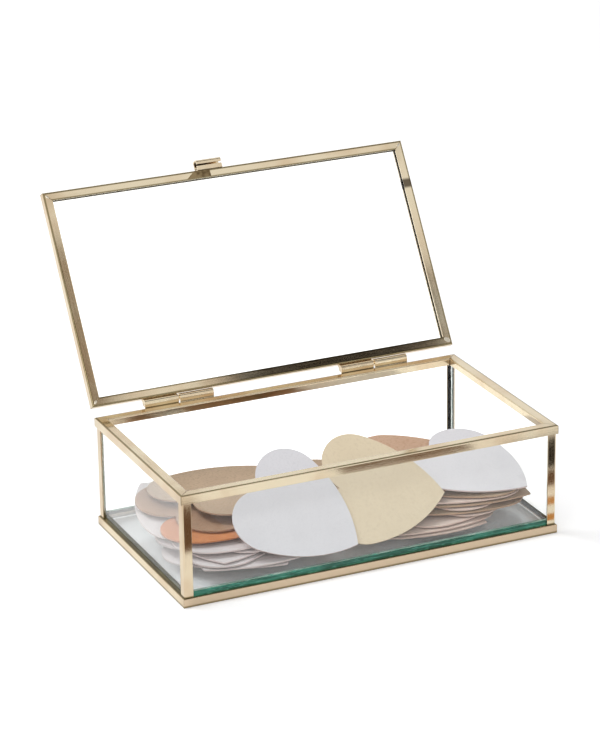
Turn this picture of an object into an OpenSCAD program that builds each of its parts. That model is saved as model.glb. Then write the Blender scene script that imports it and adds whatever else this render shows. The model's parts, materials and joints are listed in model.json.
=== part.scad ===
// Hinged glass keepsake box in a folded brass frame, open, with heart cards inside.
// Units are millimetres. +Z is up, +X runs along the long side, +Y points to the hinges.

/* [Box] */
// Outside length of the box
box_l = 220; // [212:1:260]
// Outside depth of the box, front to back
box_d = 123; // [119:1:150]
// Height of the box without its lid
box_h = 63; // [61:1:90]

/* [Frame] */
// Thickness of the folded sheet of every frame strip
sheet = 0.8; // [0.6:0.1:1]
// Height of the outer leg of the rim and base strips
rail_h = 5; // [4:0.5:6]
// Width of the base strip's shelf that carries the floor pane
shelf_w = 6; // [5:0.5:7]
// Height of the rim channel's inner leg, its top included
lip_h = 4; // [3:0.5:5]
// Width of each leg of the corner posts
post_w = 5; // [4:0.5:6]
// Width of the lid channel's two legs
lid_w = 5; // [4:0.5:6]

/* [Glass] */
// Thickness of the wall panes and the lid pane
pane = 3; // [2:0.5:3]
// Thickness of the floor pane
floor_pane = 3; // [2:0.5:4]
// Clearance round an edge of glass in its channel
fit = 0.2; // [0.1:0.1:0.4]
// Room between a wall pane and the rim channel's inner leg
bedding = 0.6; // [0.4:0.1:1]

/* [Lid] */
// Angle that the lid stands open from closed
lid_open = 122.7; // [95:0.1:130]
// Gap under the closed lid
lid_gap = 0.2; // [0.1:0.1:0.5]

/* [Hinges] */
// Outside diameter of a hinge knuckle
knuckle_d = 4; // [3.6:0.1:5]
// Length of one knuckle
knuckle_l = 20; // [14:1:24]
// Gap between the two knuckles of a hinge
knuckle_gap = 1; // [0.6:0.1:1.5]
// Diameter of a hinge pin
pin_d = 2; // [1.6:0.1:2.2]
// Radial clearance of a pin in its knuckles
pin_fit = 0.05; // [0.02:0.01:0.08]
// Distance from the end of the box to the outer end of a hinge
hinge_inset = 30; // [15:1:50]
// Clearance between the knuckles and the frame that they turn beside
hinge_gap = 0.2; // [0.1:0.1:0.4]
// Thickness of a hinge leaf
leaf_t = 0.8; // [0.6:0.1:1]
// Height of the box leaf on the rim
leaf_h = 4.2; // [3:0.1:5]
// How far the stop lip under the lid knuckle reaches down the rim
stop_h = 1.2; // [0.8:0.1:2]
// Clearance left at the stop when the lid stands open
stop_gap = 0.1; // [0.05:0.05:0.3]

/* [Pull tab] */
// Length of the pull tab
tab_l = 15; // [12:1:24]
// How far the pull tab stands out from the lid
tab_out = 6; // [5:0.5:9]
// Place of the pull tab along the lid, from its middle
tab_x = -9.5; // [-40:0.5:40]
// Outer bend radius of the pull tab
tab_r = 1.2; // [1:0.1:1.6]
// Width of the slot that the curled strip leaves open
tab_slot = 1; // [0.6:0.1:1.5]

/* [Cards] */
// Width of a heart card
heart_w = 67; // [60:1:70]
// Height of a heart card, lobes to tip
heart_h = 67; // [62:1:70]
// Radius of a heart's two lobes
lobe_r = 18.5; // [17:0.5:20]
// Angle below level at which a lobe runs on into the heart's side
lobe_end = 15; // [5:1:25]
// Thickness of a card
card_t = 0.8; // [0.5:0.1:0.8]
// Distance from one card of a pile to the next
card_pitch = 1.7; // [1.5:0.1:1.7]
// Place of the piles' curl line behind the front pane
curl_y = 38; // [34:1:44]
// Radius to which the cards have curled
curl_r = 420; // [380:10:600]
// Gap under the lowest card and between the leaning cards
card_gap = 0.3; // [0.2:0.1:0.4]
// Angle at which the two front cards lean
front_lean = 40; // [34:1:44]
// Angle at which the card on the right pile leans
right_lean = 10; // [8:1:14]

/* [Hidden] */
$fn = 72;
eps = 0.01;
// Lid channel and pane
lid_t = pane + 2 * fit + 2 * sheet;
// Rim channel: outer leg, post leg, pane, bedding and inner leg
rim_w = 3 * sheet + pane + bedding;
// Inside faces of the posts, where the panes' outer faces lie
glass_l = box_l - 4 * sheet;
glass_d = box_d - 4 * sheet;
floor_z = rail_h + floor_pane;
// Hinge axis, behind the back face and level with the knuckle's centre
knuckle_r = knuckle_d / 2;
axis_y = box_d / 2 + hinge_gap + knuckle_r;
axis_z = box_h + hinge_gap + knuckle_r;
hinge_l = 2 * knuckle_l + knuckle_gap;
left_hinge_x = -box_l / 2 + hinge_inset;
right_hinge_x = box_l / 2 - hinge_inset - hinge_l;
// Height of the lid's underside over the hinge axis when it is closed
lid_z = box_h + lid_gap;
// Furthest point of the open lid, the rounded top corner of the pull tab
reach_out = axis_y + box_d / 2 + tab_out - tab_r;
reach_up = lid_z + lid_t - axis_z - tab_r;
back_y = axis_y - reach_out * cos(lid_open) + reach_up * sin(lid_open) + tab_r;
// The origin is the bottom centre of the whole opened box
mid_y = (back_y - box_d / 2) / 2;
// Inner faces of the front pane and of the end panes, from which the cards are placed
front_y = -glass_d / 2 + pane;
end_x = glass_l / 2 - pane;
// Heart: middle of the right lobe from the heart's middle, and the large circle that bounds the
// right side, tangent to the lobe and passing through the tip
lobe_x = heart_w / 2 - lobe_r;
lobe_y = heart_h / 2 - lobe_r;
tip_to_lobe = heart_h - lobe_r;
side_k = (pow(lobe_x, 2) + pow(tip_to_lobe, 2) - pow(lobe_r, 2))
    / (2 * (lobe_x * cos(lobe_end) - tip_to_lobe * sin(lobe_end) + lobe_r));
side_r = side_k + lobe_r;
side_x = lobe_x - side_k * cos(lobe_end);
side_y = lobe_y + side_k * sin(lobe_end);
// How far the side curves end inside the lobes that close over them
tuck = 0.02;
// Direction from that circle's middle to the tip
side_start = -acos(-side_x / side_r);
// Number of cards in each pile
left_count = 9;
right_count = 9;
// Front edge and turn of the left pile's last card, whose far edge carries the card on top
left_upper_y = 32;
left_upper_turn = 115;

// How far a heart reaches from its middle in the direction a
function lobe_reach(x, a) = x * cos(a) + lobe_y * sin(a) + lobe_r;
function side_reach(a) = a > side_start && a < -lobe_end
    ? side_x * cos(a) + side_y * sin(a) + side_r : 0;
function heart_reach(a) = max(lobe_reach(lobe_x, a), lobe_reach(-lobe_x, a),
    -sin(a) * heart_h / 2, side_reach(wrapped(a)), side_reach(wrapped(180 - a)));
// The same direction between -180 and 180 degrees
function wrapped(a) = a - 360 * round(a / 360);
// Rise of a curled card at a distance y behind the front pane
function curl_rise(y) = curl_r - sqrt(pow(curl_r, 2) - pow(y - curl_y, 2));
// Height of what rests on n cards of a pile at a distance y behind the front pane
function pile_top(n, y) = floor_z + card_gap + n * card_pitch + curl_rise(y);

brass = [0.83, 0.76, 0.62];
clear = [0.80, 0.92, 0.88, 0.35];
white_card = [0.92, 0.92, 0.93];
cream_card = [0.88, 0.82, 0.70];
kraft_card = [0.74, 0.64, 0.52];
copper_card = [0.76, 0.45, 0.28];

// ---- frames of reference ----

// Moves the box's own frame, centred under the box, to the part's origin
module in_frame() {
    translate([0, -mid_y, 0]) children();
}

// Turns what is drawn closed about the hinge axis into the open pose
module opened() {
    translate([0, axis_y, axis_z]) rotate([-lid_open, 0, 0]) translate([0, -axis_y, -axis_z])
        children();
}

// ---- strips of folded sheet ----

// Rounded outer corner of a fold, drawn from the fold's inner corner
module fold_corner() {
    intersection() {
        circle(r = sheet);
        translate([-sheet, 0]) square(sheet);
    }
}

// Angle section: leg down the outside at x = 0, shelf inward along the top at y = 0
module angle_section(width, height) {
    translate([sheet, -sheet]) square([width - sheet, sheet]);
    translate([0, -height]) square([sheet, height - sheet]);
    translate([sheet, -sheet]) fold_corner();
}

// Channel section: the angle with a second leg at its inner edge
module channel_section(width, outer, inner) {
    translate([sheet, -sheet]) square([width - 2 * sheet, sheet]);
    translate([0, -outer]) square([sheet, outer - sheet]);
    translate([width - sheet, -inner]) square([sheet, inner - sheet]);
    translate([sheet, -sheet]) fold_corner();
    translate([width - sheet, -sheet]) mirror([1, 0]) fold_corner();
}

// Lid section: web up the outside at x = 0, two equal legs inward
module lid_section() {
    translate([0, sheet]) square([sheet, lid_t - 2 * sheet]);
    translate([sheet, 0]) square([lid_w - sheet, sheet]);
    translate([sheet, lid_t - sheet]) square([lid_w - sheet, sheet]);
    translate([sheet, lid_t - sheet]) fold_corner();
    translate([sheet, sheet]) mirror([0, 1]) fold_corner();
}

// One side of a mitred frame: the section runs along X at the front edge
module mitred_rail(length, depth, width, height) {
    intersection() {
        translate([-length / 2, -depth / 2, 0]) rotate([90, 0, 90]) linear_extrude(length)
            children();
        translate([0, 0, -height]) linear_extrude(2 * height)
            polygon([[-length / 2, -depth / 2], [length / 2, -depth / 2],
                [length / 2 - width, -depth / 2 + width],
                [-length / 2 + width, -depth / 2 + width]]);
    }
}

module frame_side(side, width, height) {
    if (side == "front") mitred_rail(box_l, box_d, width, height) children();
    if (side == "back") mirror([0, 1, 0]) mitred_rail(box_l, box_d, width, height) children();
    if (side == "left") rotate(-90) mitred_rail(box_d, box_l, width, height) children();
    if (side == "right") rotate(90) mitred_rail(box_d, box_l, width, height) children();
}

module base_rail(side) {
    color(brass) in_frame() translate([0, 0, rail_h])
        frame_side(side, shelf_w, 2 * rail_h) angle_section(shelf_w, rail_h);
}

module rim_rail(side) {
    color(brass) in_frame() translate([0, 0, box_h])
        frame_side(side, rim_w, 2 * rail_h) channel_section(rim_w, rail_h, lip_h);
}

module lid_rail(side) {
    color(brass) in_frame() opened() translate([0, 0, lid_z])
        frame_side(side, lid_w, 2 * lid_t) lid_section();
}

// ---- posts and panes ----

// Corner post: an angle standing on the base strips, inside the rim's outer legs
module post(x_side, y_side) {
    color(brass) in_frame()
        mirror([x_side > 0 ? 1 : 0, 0, 0]) mirror([0, y_side > 0 ? 1 : 0, 0])
            translate([-box_l / 2 + sheet, -box_d / 2 + sheet, rail_h])
                linear_extrude(box_h - sheet - rail_h) mirror([0, 1]) angle_section(post_w, post_w);
}

module floor_glass() {
    color(clear) in_frame() translate([0, 0, rail_h + floor_pane / 2])
        cube([glass_l - 2 * fit, glass_d - 2 * fit, floor_pane], center = true);
}

// Wall pane standing on the floor pane, with its top edge in the rim channel
module wall_pane(length) {
    height = box_h - sheet - fit - floor_z;
    translate([-length / 2, 0, floor_z]) cube([length, pane, height]);
}

module front_glass() {
    color(clear) in_frame() translate([0, -glass_d / 2, 0]) wall_pane(glass_l);
}

module back_glass() {
    color(clear) in_frame() translate([0, glass_d / 2 - pane, 0]) wall_pane(glass_l);
}

module left_glass() {
    color(clear) in_frame() translate([-glass_l / 2 + pane, 0, 0]) rotate(90)
        wall_pane(glass_d - 2 * pane - 2 * fit);
}

module right_glass() {
    color(clear) in_frame() translate([glass_l / 2, 0, 0]) rotate(90)
        wall_pane(glass_d - 2 * pane - 2 * fit);
}

module lid_glass() {
    color(clear) in_frame() opened() translate([0, 0, lid_z + sheet + pane / 2])
        cube([box_l - 2 * sheet - 2 * fit, box_d - 2 * sheet - 2 * fit, pane], center = true);
}

// ---- hinges ----

// Knuckle tube along X from the hinge axis
module knuckle(x, length) {
    translate([x, axis_y, axis_z]) rotate([0, 90, 0]) cylinder(d = knuckle_d, h = length);
}

module knuckle_bore(x, length) {
    translate([x - 1, axis_y, axis_z]) rotate([0, 90, 0])
        cylinder(r = pin_d / 2 + pin_fit, h = length + 2);
}

// Box half: its leaf lies on the rim's outer leg and steps clear of the lid above the rim
module box_knuckle(hinge_x) {
    x = hinge_x + knuckle_l + knuckle_gap;
    color(brass) in_frame() difference() {
        union() {
            knuckle(x, knuckle_l);
            translate([x, box_d / 2, box_h - leaf_h]) cube([knuckle_l, leaf_t, leaf_h]);
            translate([x, box_d / 2 + hinge_gap, box_h - eps])
                cube([knuckle_l, leaf_t, axis_z - box_h + eps]);
            translate([x, box_d / 2 + hinge_gap, box_h - leaf_h])
                cube([knuckle_l, leaf_t, leaf_h]);
        }
        knuckle_bore(x, knuckle_l);
    }
}

// Lid half: its leaf lies on the lid's back web, its stop lip meets the rim when open
module lid_knuckle(hinge_x) {
    color(brass) in_frame() difference() {
        union() {
            knuckle(hinge_x, knuckle_l);
            opened() translate([hinge_x, box_d / 2, axis_z])
                cube([knuckle_l, leaf_t, lid_z + lid_t - sheet - axis_z]);
            translate([hinge_x, box_d / 2 + stop_gap, box_h - stop_h])
                cube([knuckle_l, leaf_t, axis_z - box_h + stop_h]);
        }
        knuckle_bore(hinge_x, knuckle_l);
    }
}

module hinge_pin(hinge_x) {
    color(brass) in_frame() translate([hinge_x, axis_y, axis_z]) rotate([0, 90, 0])
        cylinder(d = pin_d, h = hinge_l);
}

// ---- pull tab ----

// Rectangle with rounded outer corners, from the web at x = 0
module tab_outline(out, height, r) {
    translate([0, r]) square([out, height - 2 * r]);
    square([out - r, height]);
    translate([out - r, r]) circle(r = r);
    translate([out - r, height - r]) circle(r = r);
}

// Curled strip: back against the lid's web, open along a slot underneath
module pull_tab() {
    wall = sheet;
    inner_out = tab_out - 2 * wall;
    color(brass) in_frame() opened()
        translate([tab_x - tab_l / 2, -box_d / 2, lid_z]) rotate([90, 0, 90]) linear_extrude(tab_l)
            mirror([1, 0]) difference() {
                tab_outline(tab_out, lid_t, tab_r);
                translate([wall, wall])
                    tab_outline(inner_out, lid_t - 2 * wall, tab_r - wall);
                translate([(tab_out - tab_slot) / 2, -eps]) square([tab_slot, wall + 2 * eps]);
            }
}

// ---- cards ----

// Heart, tip down, about the middle of its height
module heart() {
    intersection() {
        translate([side_x, side_y]) circle(r = side_r - tuck);
        translate([-side_x, side_y]) circle(r = side_r - tuck);
        translate([-heart_w / 2, -heart_h / 2])
            square([heart_w, tip_to_lobe - lobe_r * sin(lobe_end)]);
    }
    translate([lobe_x, lobe_y]) circle(r = lobe_r);
    translate([-lobe_x, lobe_y]) circle(r = lobe_r);
}

// Sheet of card curled about a line along X, its lowest line at z = 0
module curled_sheet(r) {
    rotate([90, 0, 90]) linear_extrude(2 * box_l, center = true) intersection() {
        translate([0, r]) difference() {
            circle(r = r, $fn = 360);
            circle(r = r - card_t, $fn = 360);
        }
        translate([-box_d, -card_t]) square([2 * box_d, box_h]);
    }
}

// Card number n of a pile, its edges at from_end and from_front off the panes. The curls of a
// pile nest round one line.
module pile_card(tint, side, n, from_end, from_front, spin) {
    lift = (n - 1) * card_pitch;
    toward_end = side < 0 ? 180 : 0;
    x = side * (end_x - from_end - heart_reach(toward_end - spin));
    y = from_front + heart_reach(-90 - spin);
    color(tint) in_frame() translate([0, front_y, floor_z + card_gap]) intersection() {
        translate([x, y, -card_t]) rotate(spin) linear_extrude(box_h) heart();
        translate([0, curl_y, lift]) curled_sheet(curl_r - lift);
    }
}

// Flat card leaning back by tilt, its lowest point at x, y, z and turned by spin in its plane
module leaning_card(tint, x, y, z, tilt, spin) {
    color(tint) in_frame() translate([x, front_y + y, z]) rotate([tilt, 0, 0])
        translate([0, heart_reach(-90 - spin), 0]) rotate(spin) linear_extrude(card_t) heart();
}

module left_card_1() { pile_card(white_card, -1, 1, 5, 3, 25); }
module left_card_2() { pile_card(white_card, -1, 2, 14, 3.5, -60); }
module left_card_3() { pile_card(white_card, -1, 3, 7, 7, 98); }
module left_card_4() { pile_card(white_card, -1, 4, 11, 9, -24); }
module left_card_5() { pile_card(white_card, -1, 5, 5, 12, 142); }
module left_card_6() { pile_card(white_card, -1, 6, 9, 15, 60); }
module left_card_7() { pile_card(white_card, -1, 7, 2, 37, 200); }
module left_card_8() { pile_card(copper_card, -1, 8, 6, 24, 62); }
module left_card_9() { pile_card(kraft_card, -1, 9, 5, left_upper_y, left_upper_turn); }
module left_card_top() {
    spin = 117;
    from_front = 37;
    from_end = 14;
    far_y = left_upper_y + heart_reach(-90 - left_upper_turn) + heart_reach(90 - left_upper_turn);
    z = pile_top(left_count, far_y);
    leaning_card(kraft_card, from_end + heart_reach(180 - spin) - end_x, from_front, z, 0, spin);
}
module right_card_1() { pile_card(white_card, 1, 1, 33, 1.5, 50); }
module right_card_2() { pile_card(white_card, 1, 2, 22, 3, -55); }
module right_card_3() { pile_card(white_card, 1, 3, 9, 4.5, 80); }
module right_card_4() { pile_card(white_card, 1, 4, 13, 6, 140); }
module right_card_5() { pile_card(kraft_card, 1, 5, 4, 6, -70); }
module right_card_6() { pile_card(white_card, 1, 6, 8, 7.5, 125); }
module right_card_7() { pile_card(kraft_card, 1, 7, 3, 7, 45); }
module right_card_8() { pile_card(white_card, 1, 8, 5, 8, -76); }
module right_card_9() { pile_card(kraft_card, 1, 9, 2, 7, -98); }
module right_card_top() {
    spin = 34;
    from_front = 8;
    from_end = 1;
    z = pile_top(right_count, from_front);
    leaning_card(white_card, end_x - from_end - heart_reach(-spin), from_front, z, right_lean, spin);
}
module front_card_white() {
    y = card_gap + card_t * sin(front_lean);
    leaning_card(white_card, -31, y, pile_top(1, 0) + card_gap, front_lean, 45);
}
module front_card_cream() {
    y = card_gap + card_t * sin(front_lean) + (card_t + card_gap) / sin(front_lean);
    leaning_card(cream_card, 20, y, pile_top(1, 0) + card_gap, front_lean, 76);
}

// ---- sub-parts that share a module ----

module base_rail_front() { base_rail("front"); }
module base_rail_back() { base_rail("back"); }
module base_rail_left() { base_rail("left"); }
module base_rail_right() { base_rail("right"); }
module rim_rail_front() { rim_rail("front"); }
module rim_rail_back() { rim_rail("back"); }
module rim_rail_left() { rim_rail("left"); }
module rim_rail_right() { rim_rail("right"); }
module lid_rail_front() { lid_rail("front"); }
module lid_rail_back() { lid_rail("back"); }
module lid_rail_left() { lid_rail("left"); }
module lid_rail_right() { lid_rail("right"); }
module post_front_left() { post(-1, -1); }
module post_front_right() { post(1, -1); }
module post_back_left() { post(-1, 1); }
module post_back_right() { post(1, 1); }
module box_knuckle_left() { box_knuckle(left_hinge_x); }
module box_knuckle_right() { box_knuckle(right_hinge_x); }
module lid_knuckle_left() { lid_knuckle(left_hinge_x); }
module lid_knuckle_right() { lid_knuckle(right_hinge_x); }
module hinge_pin_left() { hinge_pin(left_hinge_x); }
module hinge_pin_right() { hinge_pin(right_hinge_x); }

base_rail_front();
base_rail_back();
base_rail_left();
base_rail_right();
rim_rail_front();
rim_rail_back();
rim_rail_left();
rim_rail_right();
post_front_left();
post_front_right();
post_back_left();
post_back_right();
floor_glass();
front_glass();
back_glass();
left_glass();
right_glass();
box_knuckle_left();
box_knuckle_right();
hinge_pin_left();
hinge_pin_right();
lid_rail_front();
lid_rail_back();
lid_rail_left();
lid_rail_right();
lid_glass();
lid_knuckle_left();
lid_knuckle_right();
pull_tab();
left_card_1();
left_card_2();
left_card_3();
left_card_4();
left_card_5();
left_card_6();
left_card_7();
left_card_8();
left_card_9();
left_card_top();
right_card_1();
right_card_2();
right_card_3();
right_card_4();
right_card_5();
right_card_6();
right_card_7();
right_card_8();
right_card_9();
right_card_top();
front_card_white();
front_card_cream();
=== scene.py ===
import bpy
import math
import json
from mathutils import Matrix, Vector


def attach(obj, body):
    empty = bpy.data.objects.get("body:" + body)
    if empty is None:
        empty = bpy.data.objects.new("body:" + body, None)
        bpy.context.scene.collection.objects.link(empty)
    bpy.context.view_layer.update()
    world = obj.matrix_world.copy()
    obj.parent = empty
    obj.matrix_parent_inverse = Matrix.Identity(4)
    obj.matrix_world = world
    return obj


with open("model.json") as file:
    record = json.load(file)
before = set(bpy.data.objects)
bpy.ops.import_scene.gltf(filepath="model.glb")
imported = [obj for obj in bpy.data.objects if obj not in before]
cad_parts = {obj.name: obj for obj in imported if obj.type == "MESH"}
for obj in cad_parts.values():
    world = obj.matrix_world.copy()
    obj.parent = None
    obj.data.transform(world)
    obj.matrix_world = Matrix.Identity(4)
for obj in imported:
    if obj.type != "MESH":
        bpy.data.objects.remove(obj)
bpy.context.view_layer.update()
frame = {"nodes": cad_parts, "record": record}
bpy.ops.object.select_all(action='DESELECT')

# ------------------------------------------------------------------
# Camera
# A long lens stands high to the left of the front, so that the box shows its front, its left
# end and the underside of the open lid. The camera is rolled by just under one degree.
camera_place = Vector((-0.6695, -1.4966, 0.7030))
camera_yaw = math.radians(24.18)
camera_pitch = math.radians(20.90)
camera_roll = math.radians(-0.92)
camera_forward = Vector((math.sin(camera_yaw) * math.cos(camera_pitch),
                         math.cos(camera_yaw) * math.cos(camera_pitch),
                         -math.sin(camera_pitch)))
camera_level = Vector((math.cos(camera_yaw), -math.sin(camera_yaw), 0))
camera_plumb = camera_level.cross(camera_forward)
camera_right = math.cos(camera_roll) * camera_level + math.sin(camera_roll) * camera_plumb
camera_up = math.cos(camera_roll) * camera_plumb - math.sin(camera_roll) * camera_level
bpy.ops.object.camera_add(location=camera_place)
camera = bpy.context.object
camera.name = "camera"
camera.matrix_world = Matrix((
    (camera_right.x, camera_up.x, -camera_forward.x, camera_place.x),
    (camera_right.y, camera_up.y, -camera_forward.y, camera_place.y),
    (camera_right.z, camera_up.z, -camera_forward.z, camera_place.z),
    (0, 0, 0, 1)))
camera.data.sensor_width = 36
camera.data.lens = 153.26
camera.data.clip_start = 0.05
camera.data.clip_end = 20
bpy.context.scene.camera = camera

# ------------------------------------------------------------------
# Floor and light
# The box stands on a plain white sheet that runs on out of view. A large soft lamp hangs above
# and behind it on the left, with a weaker one in front, in an even white room.
sheet_size = 6.0
sheet_drop = 0.0002
sheet_white = (0.86, 0.86, 0.87, 1)
shaded_white = (0.95, 0.97, 0.99, 1)
# the patch of the sheet that lies under the box, from the box's middle outwards
box_middle_y = -0.037573
patch_half_length = 0.1080
patch_half_depth = 0.0595
patch_fade = 0.0010
# how far the rest of the sheet is lifted to a clean white, for each that sees it
lift_for_camera = 0.30
lift_for_metal = 0.26
lift_for_glass = 0.36
room_light = 0.55


def new_material(name):
    material = bpy.data.materials.new(name)
    material.use_nodes = True
    return material


def value_math(tree, operation, first, second=None):
    """Works out one number from one or two others, each a plain number or a socket."""
    step = tree.nodes.new("ShaderNodeMath")
    step.operation = operation
    for socket, source in zip(step.inputs, (first, second)):
        if source is None:
            continue
        if isinstance(source, (int, float)):
            socket.default_value = source
        else:
            tree.links.new(source, socket)
    return step.outputs[0]


def soft_step(tree, source, start, end):
    """Goes smoothly from 0 to 1 as source goes from start to end. Either may be the larger."""
    step = tree.nodes.new("ShaderNodeMapRange")
    step.interpolation_type = 'SMOOTHSTEP'
    step.inputs["From Min"].default_value = start
    step.inputs["From Max"].default_value = end
    tree.links.new(source, step.inputs["Value"])
    return step.outputs["Result"]


def mix_colour(tree, amount, first, second):
    """Goes from the first colour to the second as amount goes from 0 to 1."""
    step = tree.nodes.new("ShaderNodeMix")
    step.data_type = 'RGBA'
    tree.links.new(amount, step.inputs["Factor"])
    for name, source in (("A", first), ("B", second)):
        socket = [s for s in step.inputs if s.name == name and s.type == 'RGBA'][0]
        if isinstance(source, tuple):
            socket.default_value = source
        else:
            tree.links.new(source, socket)
    return [s for s in step.outputs if s.type == 'RGBA'][0]


def place_on_piece(tree):
    return tree.nodes.new("ShaderNodeTexCoord").outputs["Object"]


def mapped(tree, where, move=(0, 0, 0), turn=(0, 0, 0), scale=(1, 1, 1)):
    """A place, scaled, turned and moved."""
    step = tree.nodes.new("ShaderNodeMapping")
    step.inputs["Location"].default_value = move
    step.inputs["Rotation"].default_value = turn
    step.inputs["Scale"].default_value = scale
    tree.links.new(where, step.inputs["Vector"])
    return step.outputs["Vector"]


def split(tree, vector):
    """The X, Y and Z of a place or of a direction."""
    step = tree.nodes.new("ShaderNodeSeparateXYZ")
    tree.links.new(vector, step.inputs[0])
    return step.outputs


bpy.ops.mesh.primitive_plane_add(size=sheet_size, location=(0, 0, -sheet_drop))
floor = bpy.context.object
floor.name = "floor"
bpy.ops.object.transform_apply(location=True, rotation=True, scale=True)
floor_paint = new_material("floor_paint")
tree = floor_paint.node_tree
tree.nodes.clear()
out = tree.nodes.new("ShaderNodeOutputMaterial")
matte = tree.nodes.new("ShaderNodeBsdfDiffuse")
whiten = tree.nodes.new("ShaderNodeEmission")
whiten.inputs["Color"].default_value = (1, 1, 1, 1)
both = tree.nodes.new("ShaderNodeAddShader")
path = tree.nodes.new("ShaderNodeLightPath")
# the sheet is lifted to a clean white, except in the shade under the box
beside = split(tree, mapped(tree, place_on_piece(tree), move=(0, -box_middle_y, 0)))
past_end = soft_step(tree, value_math(tree, 'ABSOLUTE', beside["X"]),
                     patch_half_length, patch_half_length + patch_fade)
past_side = soft_step(tree, value_math(tree, 'ABSOLUTE', beside["Y"]),
                      patch_half_depth, patch_half_depth + patch_fade)
away = value_math(tree, 'MAXIMUM', past_end, past_side)
tree.links.new(mix_colour(tree, away, shaded_white, sheet_white), matte.inputs["Color"])
lift = value_math(tree, 'MULTIPLY', path.outputs["Is Camera Ray"], lift_for_camera)
for seen_by, amount in (("Is Glossy Ray", lift_for_metal), ("Is Transmission Ray", lift_for_glass)):
    lift = value_math(tree, 'ADD', lift,
                      value_math(tree, 'MULTIPLY', path.outputs[seen_by], amount))
lift = value_math(tree, 'MULTIPLY', lift, away)
tree.links.new(lift, whiten.inputs["Strength"])
tree.links.new(matte.outputs["BSDF"], both.inputs[0])
tree.links.new(whiten.outputs["Emission"], both.inputs[1])
tree.links.new(both.outputs["Shader"], out.inputs["Surface"])
floor.data.materials.append(floor_paint)

# the room gives an even light, and looks a full white by itself, in the metal and through glass
world = bpy.data.worlds.new("white_room")
bpy.context.scene.world = world
world.use_nodes = True
tree = world.node_tree
tree.nodes.clear()
out = tree.nodes.new("ShaderNodeOutputWorld")
room = tree.nodes.new("ShaderNodeBackground")
room.inputs["Color"].default_value = (1, 1, 1, 1)
room.inputs["Strength"].default_value = room_light
backdrop = tree.nodes.new("ShaderNodeBackground")
backdrop.inputs["Color"].default_value = (1, 1, 1, 1)
backdrop.inputs["Strength"].default_value = 1.0
path = tree.nodes.new("ShaderNodeLightPath")
seen = value_math(tree, 'MAXIMUM', path.outputs["Is Camera Ray"], path.outputs["Is Glossy Ray"])
seen = value_math(tree, 'MAXIMUM', seen, path.outputs["Is Transmission Ray"])
pick = tree.nodes.new("ShaderNodeMixShader")
tree.links.new(seen, pick.inputs["Fac"])
tree.links.new(room.outputs["Background"], pick.inputs[1])
tree.links.new(backdrop.outputs["Background"], pick.inputs[2])
tree.links.new(pick.outputs["Shader"], out.inputs["Surface"])


def hang_lamp(name, place, aim, size, power):
    """A square soft lamp that hangs at place and shines towards aim."""
    direction = Vector(aim) - Vector(place)
    bpy.ops.object.light_add(type='AREA', location=place,
                             rotation=direction.to_track_quat('-Z', 'Y').to_euler())
    lamp = bpy.context.object
    lamp.name = name
    lamp.data.shape = 'SQUARE'
    lamp.data.size = size
    lamp.data.energy = power


hang_lamp("key_lamp", place=(-1.1, 0.9, 1.9), aim=(0, 0, 0.03), size=1.2, power=26)
hang_lamp("front_lamp", place=(-0.5, -1.9, 1.3), aim=(0, 0, 0.05), size=1.0, power=10)


# Coloured boards stand out of view, so that the polished strip has something to mirror. They throw
# no shadow and no light on the cards, and show only as reflections.
def stand_board(name, place, normal, along, length, width, colour):
    """A flat board: normal is the way it faces and along the direction of its length."""
    up = Vector(normal).normalized()
    side = (Vector(along) - Vector(along).dot(up) * up).normalized()
    bpy.ops.mesh.primitive_plane_add(size=1, location=(0, 0, 0))
    board = bpy.context.object
    board.name = name
    turn = Matrix((side, up.cross(side), up)).transposed().to_4x4()
    size = Matrix.Diagonal((length, width, 1, 1))
    board.matrix_world = Matrix.Translation(place) @ turn @ size
    bpy.ops.object.transform_apply(location=True, rotation=True, scale=True)
    paint = new_material(name + "_paint")
    tree = paint.node_tree
    tree.nodes.clear()
    glow = tree.nodes.new("ShaderNodeEmission")
    glow.inputs["Color"].default_value = colour
    end = tree.nodes.new("ShaderNodeOutputMaterial")
    tree.links.new(glow.outputs["Emission"], end.inputs["Surface"])
    board.data.materials.append(paint)
    board.visible_camera = False
    board.visible_diffuse = False
    board.visible_shadow = False
    board.visible_transmission = False


dark_board = (0.03, 0.025, 0.02, 1)
brown_board = (0.17, 0.095, 0.055, 1)
tan_board = (0.27, 0.21, 0.15, 1)
orange_board = (0.62, 0.30, 0.10, 1)
# mirrored by the lid: one board for its hinge side and one for its left side
lid_view = Vector((0.3826, -0.6791, 0.6264))
lid_board_middle = Vector((0.306, -0.484, 0.621))
lid_board_right = Vector((0.8712, 0.4909, 0))
lid_board_up = Vector((-0.3075, 0.5458, 0.7795))
stand_board("hinge_side_board", normal=-lid_view,
            place=lid_board_middle + 0.018 * lid_board_right - 0.092 * lid_board_up,
            along=lid_board_right - 0.345 * lid_board_up,
            length=0.185, width=0.17, colour=dark_board)
stand_board("left_side_board", normal=-lid_view,
            place=lid_board_middle - 0.205 * lid_board_right + 0.055 * lid_board_up,
            along=0.275 * lid_board_right + 0.96 * lid_board_up,
            length=0.185, width=0.15, colour=tan_board)
# mirrored by the fold between the rim's top and front
stand_board("fold_board", place=(0.38, -0.24, 1.0), normal=(-0.38, 0.15, -0.92),
            along=(1, 0, 0), length=0.75, width=0.36, colour=dark_board)
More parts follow.
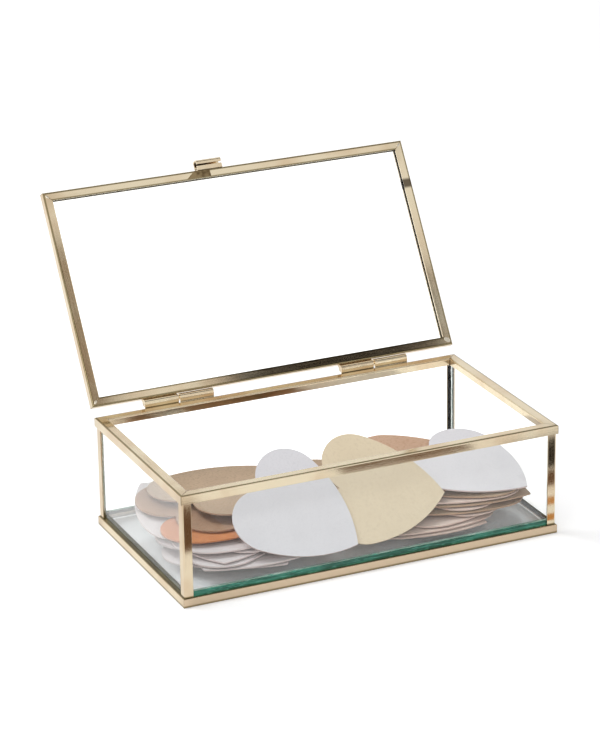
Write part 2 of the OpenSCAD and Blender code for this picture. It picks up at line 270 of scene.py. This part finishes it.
# lying in front, mirrored by the front faces of the rim and of the posts
lying_height = 0.0004
for name, x, y, length, width, colour in (
        ("rim_board", 0.083, -0.243, 0.085, 0.040, brown_board),
        ("left_post_board", -0.070, -0.192, 0.040, 0.060, brown_board),
        ("right_post_board", 0.160, -0.200, 0.040, 0.042, dark_board),
        ("right_post_brown_board", 0.143, -0.166, 0.030, 0.020, brown_board),
        ("right_post_orange_board", 0.127, -0.137, 0.024, 0.010, orange_board),
        ("right_post_foot_board", 0.116, -0.117, 0.024, 0.008, orange_board)):
    stand_board(name, (x, y, lying_height), (0, 0, 1), (1, 0, 0), length, width, colour)

# ------------------------------------------------------------------
# Brass strips of the box
# Pale gold-plated brass strip, folded to an angle or a channel and soldered at mitred corners.
# The plating is satin: fine drawn lines run along each strip, and the joints are a little darker.
half_length = 0.110
half_depth = 0.0615
hinge_y = 0.026127
hinge_z = 0.0652
lid_angle = math.radians(122.7)
box_folds = (0.063, 0.005)
gold = (0.74, 0.64, 0.46, 1)
gold_shade = (0.46, 0.36, 0.23, 1)
gold_warm = (0.66, 0.52, 0.35, 1)
foot_reflection_brown = (0.60, 0.47, 0.33, 1)
# painted shade: a dark brown for the painted contact shadow and the painted shade lines
painted_shade_brown = (0.20, 0.155, 0.07, 1)
seam_brown = (0.16, 0.11, 0.06, 1)
dark_mark_brown = (0.07, 0.05, 0.03, 1)
# the drawn lines are close together across a strip, and run far along it
close, far = 2600, 60
lines_along = (far, close, close)
lines_across = (close, far, close)
# the seam of a mitre, and how far the heat of soldering it has spread
seam_width = 0.00025
seam_wander = 0.0004
heat_reach = 0.012
# each pair says where a mark or a pattern starts to show, and where it shows in full
cloud_shows = (0.42, 0.70)
drawn_line_shows = (0.58, 0.95)
foot_strip = (0.0060, 0.0053)
contact_shade_height = (0.0014, 0.0005)
fold_shade_half_height = (0.0009, 0.0006)
fold_shade_begins = (0.0001, 0.0003)
fold_shade_stops = (0.0013, 0.0010)
dark_mark_half_length = (0.0036, 0.0016)
right_hand_strip = (0.100, 0.101)
# back from a strip's inner edge to where its line of painted shade starts, and to where it is full
inner_line_starts, inner_line_full = 0.0010, 0.0006
# how squarely a surface faces an axis, from where it starts to count to where it counts in full
faces_axis = (0.5, 0.8)


def noise(tree, where, scale, detail=2):
    step = tree.nodes.new("ShaderNodeTexNoise")
    step.inputs["Scale"].default_value = scale
    step.inputs["Detail"].default_value = detail
    tree.links.new(where, step.inputs["Vector"])
    return step.outputs["Fac"]


def surface_facing(tree):
    """The X, Y and Z of the direction that the surface faces."""
    return split(tree, tree.nodes.new("ShaderNodeNewGeometry").outputs["True Normal"])


def distance(tree, place, mark):
    return value_math(tree, 'ABSOLUTE', value_math(tree, 'SUBTRACT', place, mark))


def stain(tree, tone, where, strength, colour):
    """Lays colour over tone where it says 1. strength is the share of it that covers."""
    return mix_colour(tree, value_math(tree, 'MULTIPLY', where, strength), tone, colour)


def place_in_frame(tree, turned_with_lid):
    """The place on a strip from the middle of the frame, and for the lid's as if it were shut."""
    where = place_on_piece(tree)
    if not turned_with_lid:
        return mapped(tree, where, move=(0, -box_middle_y, 0))
    where = mapped(tree, where, move=(0, -hinge_y, -hinge_z))
    where = mapped(tree, where, turn=(lid_angle, 0, 0))
    return mapped(tree, where, move=(0, hinge_y - box_middle_y, hinge_z))


def mark_corners(tree, tone, where, cloud, fold_heights, inner_edge, dark_mark_at):
    """Adds the marks that folding and soldering leave on a strip of a mitred frame."""
    apart = split(tree, where)
    # a mitre lies where the way in from the end equals the way in from the side
    from_end = value_math(tree, 'SUBTRACT', half_length, value_math(tree, 'ABSOLUTE', apart["X"]))
    from_side = value_math(tree, 'SUBTRACT', half_depth, value_math(tree, 'ABSOLUTE', apart["Y"]))
    inward = value_math(tree, 'MINIMUM', from_end, from_side)
    off_mitre = value_math(tree, 'SUBTRACT', distance(tree, from_end, from_side),
                           value_math(tree, 'MULTIPLY', cloud, seam_wander))
    seam = soft_step(tree, off_mitre, seam_width, 0.0)
    tone = stain(tree, tone, seam, strength=0.75, colour=seam_brown)
    heat = soft_step(tree, off_mitre, heat_reach, 0.0)
    tone = stain(tree, tone, heat, strength=0.30, colour=gold_shade)
    # painted reflection: the front and back faces of the strip round the foot are painted warmer
    # and browner
    front_or_back = soft_step(tree, value_math(tree, 'ABSOLUTE', surface_facing(tree)["Y"]),
                              *faces_axis)
    low = soft_step(tree, apart["Z"], *foot_strip)
    tone = stain(tree, tone, low, strength=front_or_back, colour=foot_reflection_brown)
    # painted contact shadow: the lowest fold of the base strips is painted dark brown where it
    # meets the floor
    contact_shade = soft_step(tree, apart["Z"], *contact_shade_height)
    tone = stain(tree, tone, contact_shade, strength=0.85, colour=painted_shade_brown)
    # painted shade: a dark line is painted along each fold
    for height in fold_heights:
        level = soft_step(tree, distance(tree, apart["Z"], height), *fold_shade_half_height)
        begun = soft_step(tree, inward, *fold_shade_begins)
        not_past = soft_step(tree, inward, *fold_shade_stops)
        line = value_math(tree, 'MULTIPLY', level, value_math(tree, 'MULTIPLY', begun, not_past))
        tone = stain(tree, tone, line, strength=0.85, colour=painted_shade_brown)
    # a dark mark on the lid's right-hand strip
    if dark_mark_at is not None:
        near_dark_mark = soft_step(tree, distance(tree, apart["Y"], dark_mark_at), *dark_mark_half_length)
        on_right = soft_step(tree, apart["X"], *right_hand_strip)
        dark_mark_mask = value_math(tree, 'MULTIPLY', near_dark_mark, on_right)
        tone = stain(tree, tone, dark_mark_mask, strength=0.90, colour=dark_mark_brown)
    # painted shade: a dark line is painted along the inner edge, beside the glass
    if inner_edge:
        edge_line = soft_step(tree, inward, inner_edge - inner_line_starts,
                              inner_edge - inner_line_full)
        tone = stain(tree, tone, edge_line, strength=0.80, colour=painted_shade_brown)
    return tone


def strip_metal(name, drawn_scale, turned_with_lid=False, corner_marks=True, fold_heights=(),
                inner_edge=0.0, dark_mark_at=None):
    """Polished plated brass. drawn_scale stretches the drawn lines along the strip. A line of
    painted shade is drawn along the folds at fold_heights, and along a strip's inner edge, which
    is inner_edge in from the outside. The last argument places a dark mark on the right-hand strip."""
    metal = new_material(name)
    tree = metal.node_tree
    shader = tree.nodes["Principled BSDF"]
    where = place_in_frame(tree, turned_with_lid)
    # broad clouding of the plating, and drawn lines along the strip
    cloud = noise(tree, where, scale=38, detail=3)
    lines = noise(tree, mapped(tree, where, scale=drawn_scale), scale=1, detail=4)
    tone = mix_colour(tree, soft_step(tree, cloud, *cloud_shows), gold, gold_warm)
    tone = mix_colour(tree, soft_step(tree, lines, *drawn_line_shows), tone, gold_shade)
    if corner_marks:
        tone = mark_corners(tree, tone, where, cloud, fold_heights, inner_edge, dark_mark_at)
    tree.links.new(tone, shader.inputs["Base Color"])
    shader.inputs["Metallic"].default_value = 1.0
    rough = tree.nodes.new("ShaderNodeMapRange")
    rough.inputs["To Min"].default_value = 0.05
    rough.inputs["To Max"].default_value = 0.16
    tree.links.new(lines, rough.inputs["Value"])
    tree.links.new(rough.outputs["Result"], shader.inputs["Roughness"])
    bump = tree.nodes.new("ShaderNodeBump")
    bump.inputs["Strength"].default_value = 0.03
    bump.inputs["Distance"].default_value = 0.0002
    tree.links.new(lines, bump.inputs["Height"])
    # worn, slightly rounded edges of the cut sheet
    edge = tree.nodes.new("ShaderNodeBevel")
    edge.samples = 6
    edge.inputs["Radius"].default_value = 0.0003
    tree.links.new(edge.outputs["Normal"], bump.inputs["Normal"])
    tree.links.new(bump.outputs["Normal"], shader.inputs["Normal"])
    return metal


def dress(node, material):
    """Gives a solid its finish."""
    piece = frame["nodes"][node]
    piece.data.materials.clear()
    piece.data.materials.append(material)


strip_along = strip_metal("strip_along", lines_along, fold_heights=box_folds)
strip_across = strip_metal("strip_across", lines_across, fold_heights=box_folds)
for side, metal in (("front", strip_along), ("back", strip_along),
                    ("left", strip_across), ("right", strip_across)):
    dress("base_rail_" + side, metal)
    dress("rim_rail_" + side, metal)

# ------------------------------------------------------------------
# Corner posts
# The same strip folded to an angle and stood between the base and the rim. Painted shade: a dark
# line at top and bottom, where the rim's lip and the base strip meet it; browner towards the top.
lines_upright = (close, close, far)
post_top_brown = (0.42, 0.27, 0.15, 1)
# where each mark starts to show, and where it shows in full
post_foot = (0.0062, 0.0054)
post_head = (0.0575, 0.0582)
post_browning = (0.020, 0.056)
post_metal = strip_metal("post_metal", lines_upright, corner_marks=False)
tree = post_metal.node_tree
post_tone = tree.nodes["Principled BSDF"].inputs["Base Color"]
plain_tone = post_tone.links[0].from_socket
height = split(tree, place_on_piece(tree))["Z"]
# painted shade at the post's foot and head
foot = soft_step(tree, height, *post_foot)
head = soft_step(tree, height, *post_head)
browned_tone = stain(tree, plain_tone, soft_step(tree, height, *post_browning),
                     strength=0.35, colour=post_top_brown)
tree.links.new(mix_colour(tree, value_math(tree, 'MAXIMUM', foot, head), browned_tone, painted_shade_brown),
               post_tone)
for corner in ("front_left", "front_right", "back_left", "back_right"):
    dress("post_" + corner, post_metal)

# ------------------------------------------------------------------
# Lid strips and hinges
# A channel of the same strip round the lid's pane, mitred and soldered, with two hinges whose
# knuckles are rolled from thin plate and turn on brass pins.
lid_folds = (0.0632, 0.0682)
lid_strip_width = 0.005
lid_underside = 0.0632
plate_lines = (90, 2200, 2200)
lid_along = strip_metal("lid_along", lines_along, turned_with_lid=True,
                        fold_heights=lid_folds, inner_edge=lid_strip_width)
lid_across = strip_metal("lid_across", lines_across, turned_with_lid=True,
                         fold_heights=lid_folds, dark_mark_at=-0.036)
for side, metal in (("front", lid_along), ("back", lid_along),
                    ("left", lid_across), ("right", lid_across)):
    dress("lid_rail_" + side, metal)
hinge_metal = strip_metal("hinge_metal", plate_lines, corner_marks=False)
for side in ("left", "right"):
    dress("box_knuckle_" + side, hinge_metal)
    dress("lid_knuckle_" + side, hinge_metal)
    dress("hinge_pin_" + side, hinge_metal)
dress("pull_tab", hinge_metal)
open_lid = (Matrix.Translation((0, hinge_y, hinge_z)) @ Matrix.Rotation(-lid_angle, 4, 'X')
            @ Matrix.Translation((0, -hinge_y, -hinge_z)))


def settle(piece, place):
    """Puts a piece where it belongs and leaves its object at the origin."""
    piece.matrix_world = place
    bpy.ops.object.transform_apply(location=True, rotation=True, scale=True)
    bpy.ops.object.select_all(action='DESELECT')


# leaf of the pull tab, cut at a slant and soldered to the underside of the free rail
leaf_left, leaf_right, leaf_slant = -0.0245, -0.0100, 0.0050
leaf_near, leaf_far, leaf_thick = 0.0572, 0.0612, 0.00014
leaf_rounding = 0.00004
corner_reach = 0.0001
leaf_dark = (0.10, 0.065, 0.030, 1)
leaf_pale = (0.26, 0.19, 0.10, 1)
leaf_pale_shows = (0.35, 0.65)
bpy.ops.mesh.primitive_cube_add(size=1, location=(0, 0, 0))
leaf = bpy.context.object
leaf.name = "tab_leaf"
leaf.scale = (leaf_right - leaf_left, leaf_far - leaf_near, leaf_thick)
leaf.location = ((leaf_left + leaf_right) / 2, -(leaf_near + leaf_far) / 2, -leaf_thick / 2)
bpy.ops.object.transform_apply(location=True, rotation=True, scale=True)
bpy.ops.object.mode_set(mode='EDIT')
bpy.ops.mesh.select_all(action='DESELECT')
bpy.ops.object.mode_set(mode='OBJECT')
bpy.context.tool_settings.mesh_select_mode = (True, False, False)
for point in leaf.data.vertices:
    point.select = point.co.x < leaf_left + corner_reach and point.co.y < -leaf_far + corner_reach
bpy.ops.object.mode_set(mode='EDIT')
bpy.ops.transform.translate(value=(leaf_slant, 0, 0))
bpy.ops.mesh.select_all(action='SELECT')
bpy.ops.mesh.bevel(offset=leaf_rounding, segments=2)
bpy.ops.object.mode_set(mode='OBJECT')
settle(leaf, open_lid @ Matrix.Translation((0, box_middle_y, lid_underside)))
leaf_metal = strip_metal("leaf_metal", plate_lines, corner_marks=False)
tree = leaf_metal.node_tree
# the leaf is dark brown with paler patches
paler_patches = soft_step(tree, noise(tree, place_on_piece(tree), scale=260), *leaf_pale_shows)
tree.links.new(mix_colour(tree, paler_patches, leaf_dark, leaf_pale),
               tree.nodes["Principled BSDF"].inputs["Base Color"])
leaf.data.materials.append(leaf_metal)
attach(leaf, "lid")

# beads of pale solder at the lid's corners, run out flat so that the lid still shuts on the rim
bead_thick = 0.00013
bead_unevenness = 0.00002
solder_bright = (0.80, 0.74, 0.62, 1)
solder_dull = (0.52, 0.46, 0.36, 1)
solder = new_material("solder")
tree = solder.node_tree
ripple = noise(tree, place_on_piece(tree), scale=900)
solder_shader = tree.nodes["Principled BSDF"]
tree.links.new(mix_colour(tree, ripple, solder_bright, solder_dull),
               solder_shader.inputs["Base Color"])
solder_shader.inputs["Metallic"].default_value = 1.0
solder_shader.inputs["Roughness"].default_value = 0.30
for name, x, y, long, wide, turn in (
        ("solder_back_right", 0.1072, 0.0583, 0.0021, 0.0013, 35),
        ("solder_back_left", -0.1077, 0.0589, 0.0013, 0.0007, -45),
        ("solder_front_right", 0.1077, -0.0589, 0.0013, 0.0006, -45),
        ("solder_front_left", -0.1077, -0.0589, 0.0013, 0.0006, 45)):
    bpy.ops.mesh.primitive_uv_sphere_add(segments=24, ring_count=12, radius=1, location=(0, 0, 0))
    bead = bpy.context.object
    bead.name = name
    bead.scale = (long, wide, bead_thick)
    bpy.ops.object.transform_apply(location=True, rotation=True, scale=True)
    bpy.ops.object.mode_set(mode='EDIT')
    bpy.ops.mesh.select_all(action='SELECT')
    bpy.ops.transform.vertex_random(offset=bead_unevenness, seed=4)
    bpy.ops.mesh.vertices_smooth(factor=0.5, repeat=2)
    bpy.ops.object.mode_set(mode='OBJECT')
    bpy.ops.object.shade_smooth()
    settle(bead, open_lid @ Matrix.Translation((x, y + box_middle_y, lid_underside))
           @ Matrix.Rotation(math.radians(turn), 4, 'Z'))
    bead.data.materials.append(solder)
    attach(bead, "lid")

# ------------------------------------------------------------------
# Glass
# Clear sheet glass, cut and ground. It is almost without colour through its face, and green where
# the light runs along it to a cut edge.
wall_tint = (0.99, 1.0, 0.995, 1)
base_tint = (0.95, 0.98, 1.0, 1)
light_tint = (0.985, 0.99, 0.987, 1)
wall_edge_pale = (0.50, 0.66, 0.58, 1)
wall_edge_deep = (0.26, 0.42, 0.34, 1)
base_edge_pale = (0.035, 0.26, 0.175, 1)
base_edge_deep = (0.006, 0.10, 0.062, 1)
edge_highlight_teal = (0.09, 0.42, 0.31, 1)
olive_deep = (0.022, 0.024, 0.008, 1)
olive_pale = (0.10, 0.11, 0.055, 1)
olive_foot = (0.055, 0.058, 0.022, 1)
ground_lines = (60, 60, 750)
foot_cover = 0.95
# where each pattern or mark starts to show, and where it shows in full
pale_streak_shows = (0.40, 0.66)
highlight_shows = (0.54, 0.72)
olive_streak_shows = (0.45, 0.65)
pane_foot = (0.012, 0.009)
# a cut edge starts where the surface turns away from the pane's face
turns_from_face = (0.6, 0.4)


def sheet_glass(name, face_tint, edge_pale, edge_deep, edge_cover, upright):
    """Clear glass whose cut edges are tinted. upright is the axis that the face of a standing
    pane looks along, and is left empty for a lying one. edge_cover is the tint's strength."""
    glass = new_material(name)
    tree = glass.node_tree
    tree.nodes.clear()
    end = tree.nodes.new("ShaderNodeOutputMaterial")
    clear = tree.nodes.new("ShaderNodeBsdfPrincipled")
    clear.inputs["Base Color"].default_value = face_tint
    clear.inputs["Transmission Weight"].default_value = 1.0
    clear.inputs["Roughness"].default_value = 0.0
    clear.inputs["IOR"].default_value = 1.38
    # the lamps and the light from the cards pass straight through
    through = tree.nodes.new("ShaderNodeBsdfTransparent")
    through.inputs["Color"].default_value = light_tint
    path = tree.nodes.new("ShaderNodeLightPath")
    lit = value_math(tree, 'MAXIMUM', path.outputs["Is Shadow Ray"], path.outputs["Is Diffuse Ray"])
    pane_mix = tree.nodes.new("ShaderNodeMixShader")
    tree.links.new(lit, pane_mix.inputs["Fac"])
    tree.links.new(clear.outputs["BSDF"], pane_mix.inputs[1])
    tree.links.new(through.outputs["BSDF"], pane_mix.inputs[2])
    # the ground edge: long soft streaks of pale and deep green, with small bright chips of painted
    # highlight
    where = place_on_piece(tree)
    along_edge = mapped(tree, where, scale=ground_lines)
    streaks = noise(tree, along_edge, scale=1, detail=5)
    highlight_chips = noise(tree, along_edge, scale=3.5, detail=4)
    tone = mix_colour(tree, soft_step(tree, streaks, *pale_streak_shows), edge_deep, edge_pale)
    tone = mix_colour(tree, soft_step(tree, highlight_chips, *highlight_shows), tone, edge_highlight_teal)
    facing = surface_facing(tree)
    if not upright:
        # the ends were left as cut, and look olive where the light doesn't reach them
        at_end = soft_step(tree, value_math(tree, 'ABSOLUTE', facing["X"]), *faces_axis)
        olive = mix_colour(tree, soft_step(tree, streaks, *olive_streak_shows),
                           olive_deep, olive_pale)
        tone = mix_colour(tree, at_end, tone, olive)
    if upright == "X":
        # the foot of an end pane stands in the dark of the strip, and looks olive
        at_foot = soft_step(tree, split(tree, where)["Z"], *pane_foot)
        tone = mix_colour(tree, at_foot, tone, olive_foot)
        edge_cover = value_math(tree, 'MAXIMUM', value_math(tree, 'MULTIPLY', at_foot, foot_cover),
                                edge_cover)
    edge = tree.nodes.new("ShaderNodeBsdfPrincipled")
    tree.links.new(tone, edge.inputs["Base Color"])
    edge.inputs["Roughness"].default_value = 0.10
    on_edge = soft_step(tree, value_math(tree, 'ABSOLUTE', facing[upright or "Z"]),
                        *turns_from_face)
    whole = tree.nodes.new("ShaderNodeMixShader")
    tree.links.new(value_math(tree, 'MULTIPLY', on_edge, edge_cover), whole.inputs["Fac"])
    tree.links.new(pane_mix.outputs["Shader"], whole.inputs[1])
    tree.links.new(edge.outputs["BSDF"], whole.inputs[2])
    tree.links.new(whole.outputs["Shader"], end.inputs["Surface"])
    return glass


# the lid's pane hides its edges in the channel, so they take no tint
for name, edge_cover, upright, panes in (
        ("front_back_glass", 0.55, "Y", ("front_glass", "back_glass")),
        ("end_glass", 0.55, "X", ("left_glass", "right_glass")),
        ("lid_pane_glass", 0.0, "X", ("lid_glass",))):
    wall_glass = sheet_glass(name, wall_tint, wall_edge_pale, wall_edge_deep, edge_cover, upright)
    for pane in panes:
        dress(pane, wall_glass)
dress("floor_glass", sheet_glass("base_glass", base_tint, base_edge_pale, base_edge_deep,
                                 edge_cover=0.95, upright=""))

# ------------------------------------------------------------------
# Cards
# Blank guest cards cut to a heart from stiff card: white, cream, brown kraft and copper. They
# stand at the front, and lie in two piles, where most of them have curled.
fleck_shows = (0.45, 0.75)
pulp_shows = (0.40, 0.75)
faces_down = (0.25, -0.25)


def card_stock(name, face, fleck, underside_shade, grain_scale):
    """Card with a coloured face, fine flecks, and painted shade on its underside, darker and
    warmer.
    """
    stock = new_material(name)
    tree = stock.node_tree
    shader = tree.nodes["Principled BSDF"]
    where = place_on_piece(tree)
    grain = noise(tree, where, grain_scale, detail=6)
    tone = mix_colour(tree, soft_step(tree, grain, *fleck_shows), face, fleck)
    # broad unevenness of the pulp
    pulp = noise(tree, where, scale=60, detail=3)
    tone = stain(tree, tone, soft_step(tree, pulp, *pulp_shows), strength=0.45, colour=fleck)
    # painted shade: faces that turn down are painted darker and warmer
    below = soft_step(tree, surface_facing(tree)["Z"], *faces_down)
    tone = mix_colour(tree, below, tone, underside_shade)
    tree.links.new(tone, shader.inputs["Base Color"])
    shader.inputs["Roughness"].default_value = 0.72
    bump = tree.nodes.new("ShaderNodeBump")
    bump.inputs["Strength"].default_value = 0.15
    bump.inputs["Distance"].default_value = 0.0001
    tree.links.new(grain, bump.inputs["Height"])
    tree.links.new(bump.outputs["Normal"], shader.inputs["Normal"])
    return stock


stocks = {
    "white_card": card_stock("white_stock", (0.77, 0.76, 0.79, 1), (0.72, 0.71, 0.74, 1),
                             (0.62, 0.49, 0.46, 1), grain_scale=900),
    "cream_card": card_stock("cream_stock", (0.80, 0.68, 0.49, 1), (0.74, 0.62, 0.44, 1),
                             (0.66, 0.54, 0.38, 1), grain_scale=700),
    "kraft_card": card_stock("kraft_stock", (0.53, 0.39, 0.265, 1), (0.40, 0.29, 0.20, 1),
                             (0.42, 0.22, 0.12, 1), grain_scale=800),
    "copper_card": card_stock("copper_stock", (0.70, 0.27, 0.095, 1), (0.60, 0.21, 0.07, 1),
                              (0.40, 0.13, 0.05, 1), grain_scale=500),
}
for subpart in frame["record"]["subparts"]:
    if subpart["material_slot"] in stocks:
        dress(subpart["node"], stocks[subpart["material_slot"]])
# the white cards in the piles are of a blushed stock, the right pile's more so
left_blush = card_stock("left_blush_stock", (0.78, 0.735, 0.745, 1), (0.72, 0.67, 0.67, 1),
                        (0.66, 0.50, 0.45, 1), grain_scale=900)
right_blush = card_stock("right_blush_stock", (0.78, 0.65, 0.58, 1), (0.72, 0.58, 0.51, 1),
                         (0.62, 0.42, 0.34, 1), grain_scale=900)
dark_kraft = card_stock("dark_kraft_stock", (0.47, 0.29, 0.18, 1), (0.34, 0.20, 0.12, 1),
                        (0.38, 0.20, 0.11, 1), grain_scale=650)
for number in (1, 2, 3, 4, 5, 6, 7):
    dress("left_card_" + str(number), left_blush)
dress("left_card_9", dark_kraft)
for number in (1, 2, 3, 4, 6, 8):
    dress("right_card_" + str(number), right_blush)

# ------------------------------------------------------------------
# Loose cards between the piles
# Two more cards of the same cut: a peach one slipped under the card on the right pile, and a
# kraft one that lies from one pile to the other. They are cut to the flat card's outline.
flat_card_middle = Vector((-0.0527, -0.0188, 0.02777))
flat_card_spin = 117
merge_distance = 0.00001


def lay_card(name, stock, middle, tilt, roll, spin):
    """Copies the flat card, then turns it by spin, leans it back and rolls it to the right."""
    card = frame["nodes"]["left_card_top"].copy()
    card.data = card.data.copy()
    bpy.context.collection.objects.link(card)
    card.name = name
    # the copy is a piece of its own, so it drops the marks that tie it to the flat card
    for mark in list(card.keys()):
        del card[mark]
    bpy.ops.object.select_all(action='DESELECT')
    card.select_set(True)
    bpy.context.view_layer.objects.active = card
    bpy.ops.object.mode_set(mode='EDIT')
    bpy.ops.mesh.select_all(action='SELECT')
    bpy.ops.mesh.remove_doubles(threshold=merge_distance)
    bpy.ops.object.mode_set(mode='OBJECT')
    card.data.materials.clear()
    card.data.materials.append(stock)
    settle(card, Matrix.Translation(middle) @ Matrix.Rotation(math.radians(roll), 4, 'Y')
           @ Matrix.Rotation(math.radians(tilt), 4, 'X')
           @ Matrix.Rotation(math.radians(spin - flat_card_spin), 4, 'Z')
           @ Matrix.Translation(-flat_card_middle))
    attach(card, "box")


peach_stock = card_stock("peach_stock", (0.60, 0.40, 0.28, 1), (0.50, 0.31, 0.20, 1),
                         (0.42, 0.20, 0.10, 1), grain_scale=700)
lay_card("slipped_card", peach_stock,
         middle=(0.056, -0.0068 + box_middle_y, 0.0300), tilt=10, roll=0, spin=84)
lay_card("bridging_card", stocks["kraft_card"],
         middle=(-0.002, -0.006 + box_middle_y, 0.0272), tilt=0, roll=4.4, spin=-60)

# ------------------------------------------------------------------
bpy.context.scene.view_settings.view_transform = 'Standard'
